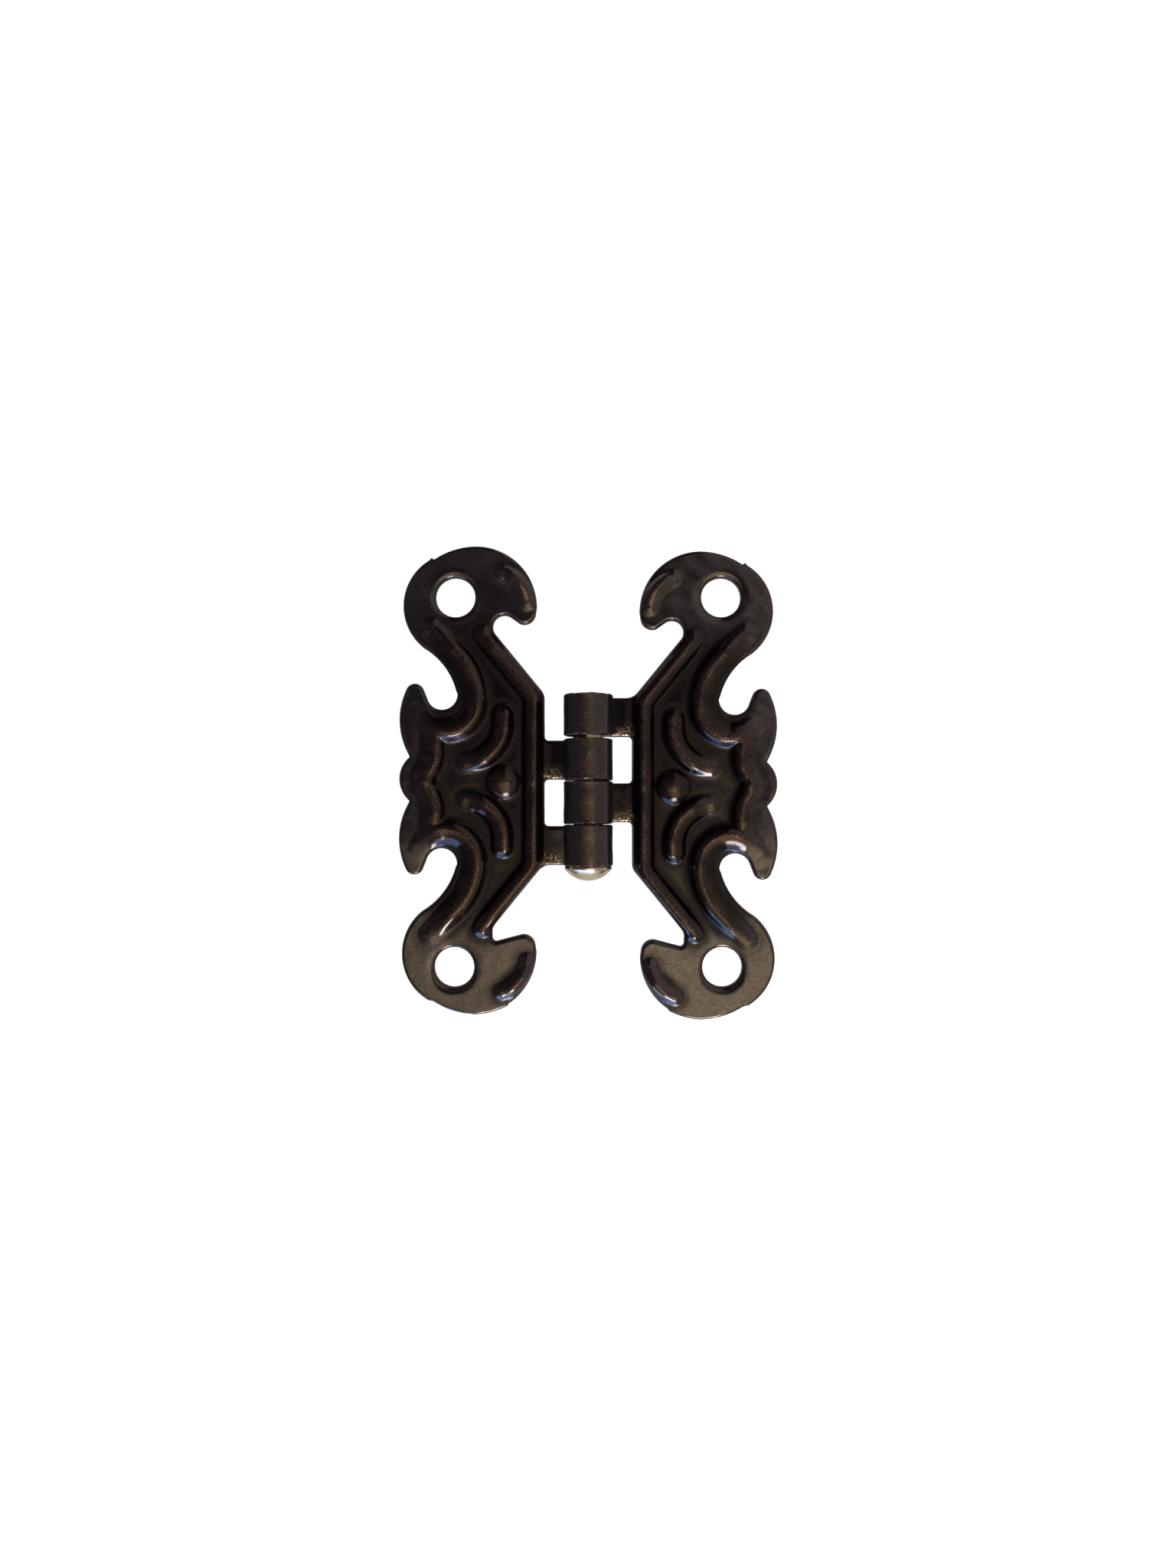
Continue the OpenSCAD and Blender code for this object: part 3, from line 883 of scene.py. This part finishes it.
def nickel_material():
    """Pale plating: clean on the head and on the right of the topmost gap, and stained brown elsewhere."""
    material, g, shader = new_material("worn_nickel")
    at = g.place()
    blotch = g.noise(at, 0.7, 4.0, 0.65)
    fine = g.noise(at, 0.16, 2.0, 0.7)
    flecks = g.ramp(g.noise(at, 0.3, 3.0, 0.7, 0.6), 0.50, 0.64)
    split = g.node("ShaderNodeSeparateXYZ")
    g.link(at, split.inputs[0])
    across, along = split.outputs[0], split.outputs[1]
    patch = g.times(g.ramp(across, -0.3 * MM, 0.0), g.ramp(along, 3 * MM, 4 * MM))
    clean = g.plus(patch, g.ramp(along, -9.2 * MM, -9.0 * MM, 1.0, 0.0), True)
    stain = g.times(g.less(1.0, clean), g.less(1.0, g.times(flecks, 0.6)))
    colour = g.mix(g.ramp(blotch, 0.3, 0.7), (0.62, 0.50, 0.34), (0.42, 0.33, 0.22))
    colour = g.mix(stain, colour, (0.060, 0.040, 0.030))
    colour = g.mix(g.times(patch, 0.9), colour, (0.95, 0.86, 0.70))
    g.link(colour, shader.inputs["Base Color"])
    rough = g.plus(g.ramp(blotch, 0.25, 0.75, 0.16, 0.3), g.times(patch, 0.3))
    g.link(rough, shader.inputs["Roughness"])
    g.link(g.bump(fine, 0.15, 0.015), shader.inputs["Normal"])
    shader.inputs["Metallic"].default_value = 1.0
    return material


# ---------------------------------------------------------------- the three pieces
bronze, nickel = bronze_material(), nickel_material()
left_stamping = Stamping(LEFT_KNUCKLES, OUTLINE_SLIP, -1, 11)
right_stamping = Stamping(RIGHT_KNUCKLES, -OUTLINE_SLIP, 1, 37)
left_leaf = leaf_object("left_leaf_metal", left_stamping, True, bronze)
right_leaf = leaf_object("right_leaf_metal", right_stamping, False, bronze)
pin = lathed("headed_pin", pin_profile(), PIN_FACETS, nickel, ROLL_R)
for piece, body, node, finish in (
    (left_leaf, "left_leaf", "left_leaf", "leaf_bronze"),
    (right_leaf, "right_leaf", "right_leaf", "leaf_bronze"),
    (pin, "left_leaf", "hinge_pin", "pin_metal"),
):
    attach(piece, body)
    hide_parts(node)

# ---------------------------------------------------------------- floor
FLOOR_HALF = 1.5
FLOOR_Z = -0.0002
FLOOR_GLOW = 0.9

scene = bpy.context.scene
corners = [(x * FLOOR_HALF, y * FLOOR_HALF, FLOOR_Z) for x, y in ((-1, -1), (1, -1), (1, 1), (-1, 1))]
floor_mesh = bpy.data.meshes.new("floor")
floor_mesh.from_pydata(corners, [], [(0, 1, 2, 3)])
floor = bpy.data.objects.new("floor", floor_mesh)
scene.collection.objects.link(floor)
pale_floor, paint, shader = new_material("pale_floor")
shader.inputs["Base Color"].default_value = (0.9, 0.9, 0.9, 1)
shader.inputs["Roughness"].default_value = 0.8
shader.inputs["Emission Color"].default_value = (1, 1, 1, 1)
paint.link(paint.times(paint.camera_ray(), FLOOR_GLOW), shader.inputs["Emission Strength"])
floor_mesh.materials.append(pale_floor)

# ---------------------------------------------------------------- light
world = bpy.data.worlds.new("studio")
scene.world = world
world.use_nodes = True
world.node_tree.nodes.clear()
g = Graph(world.node_tree)
direction = g.node("ShaderNodeSeparateXYZ")
g.link(g.node("ShaderNodeTexCoord").outputs["Generated"], direction.inputs[0])
dx, dy, dz = direction.outputs

# A dim room on the left, with a paler strip beyond the hinge, and a pale wall on the right
left = g.mix(g.ramp(dx, -0.16, -0.12), (0.088, 0.076, 0.098), (0.033, 0.033, 0.042))
beyond = g.times(g.ramp(dy, 0.175, 0.215), g.ramp(dy, 0.30, 0.42, 1.0, 0.0))
left = g.mix(beyond, left, g.mix(g.ramp(dx, 0.0, 0.1), (0.20, 0.158, 0.185), (0.40, 0.33, 0.34)))
right = g.mix(g.ramp(dy, 0.09, 0.14), (0.39, 0.35, 0.34), (0.56, 0.50, 0.49))
sides = g.mix(g.ramp(dx, 0.104, 0.124), left, right)

# A warm ceiling, seen in the flats nearest to the window: brightest on the right, and soft towards both sides
ceiling = g.mix(g.ramp(dx, -0.25, 0.06), (0.60, 0.52, 0.41), (1.80, 1.54, 1.05))
spread = g.ramp(g.maths("ABSOLUTE", dx, 0.0), 0.24, 0.6, 1.0, 0.1)
reach = g.times(g.ramp(dy, -0.046, -0.030, 1.0, 0.0), g.ramp(dy, -0.85, -0.55, 0.0, 1.0))
sides = g.mix(g.times(spread, reach), sides, ceiling)

# Below the horizon it is dark. The camera itself sees plain pale grey all round.
sky = g.mix(g.ramp(dz, -0.12, 0.06), (0.06, 0.058, 0.066), sides)
lit = g.node("ShaderNodeBackground")
g.link(sky, lit.inputs["Color"])
seen = g.node("ShaderNodeBackground")
seen.inputs["Color"].default_value = (0.93, 0.93, 0.94, 1)
which = g.node("ShaderNodeMixShader")
g.link(g.camera_ray(), which.inputs[0])
g.link(lit.outputs[0], which.inputs[1])
g.link(seen.outputs[0], which.inputs[2])
g.link(which.outputs[0], g.node("ShaderNodeOutputWorld").inputs["Surface"])


def softbox(name, at, aim, width, height, radiance, colour):
    """An area light whose face has the given radiance, so its size doesn't change how bright it looks."""
    light = bpy.data.lights.new(name, "AREA")
    light.shape = "RECTANGLE"
    light.size, light.size_y = width, height
    light.energy = radiance * math.pi * width * height
    light.color = colour
    obj = bpy.data.objects.new(name, light)
    obj.location = at
    obj.rotation_euler = (Vector(aim) - Vector(at)).to_track_quat("-Z", "Y").to_euler()
    scene.collection.objects.link(obj)


softbox("window_blue", (-0.12, -0.5, 0.12), (0, 0, 0.02), 0.62, 0.28, 5.0, (0.30, 0.52, 1.0))
softbox("window_white", (0.06, -0.43, 0.25), (0, 0, 0), 0.16, 0.13, 22.0, (0.95, 0.97, 1.0))

# ---------------------------------------------------------------- camera
IMAGE_H = 2048
PX_PER_MM = 12.0
DISTANCE_MM = 129.0
SENSOR_MM = 24.0
TILT = math.radians(1.7)
aim = Vector((-0.03 * MM, -0.27 * MM, 0.5 * SHEET_T * MM))
camera_data = bpy.data.cameras.new("camera")
camera_data.sensor_fit = "VERTICAL"
camera_data.sensor_height = SENSOR_MM
camera_data.lens = SENSOR_MM * PX_PER_MM * DISTANCE_MM / IMAGE_H
camera_data.clip_start = 0.005
camera_data.clip_end = 20.0
camera = bpy.data.objects.new("camera", camera_data)
camera.location = aim + DISTANCE_MM * MM * Vector((0, -math.sin(TILT), math.cos(TILT)))
camera.rotation_euler = (TILT, 0, 0)
scene.collection.objects.link(camera)
scene.camera = camera
scene.view_settings.view_transform = "Standard"
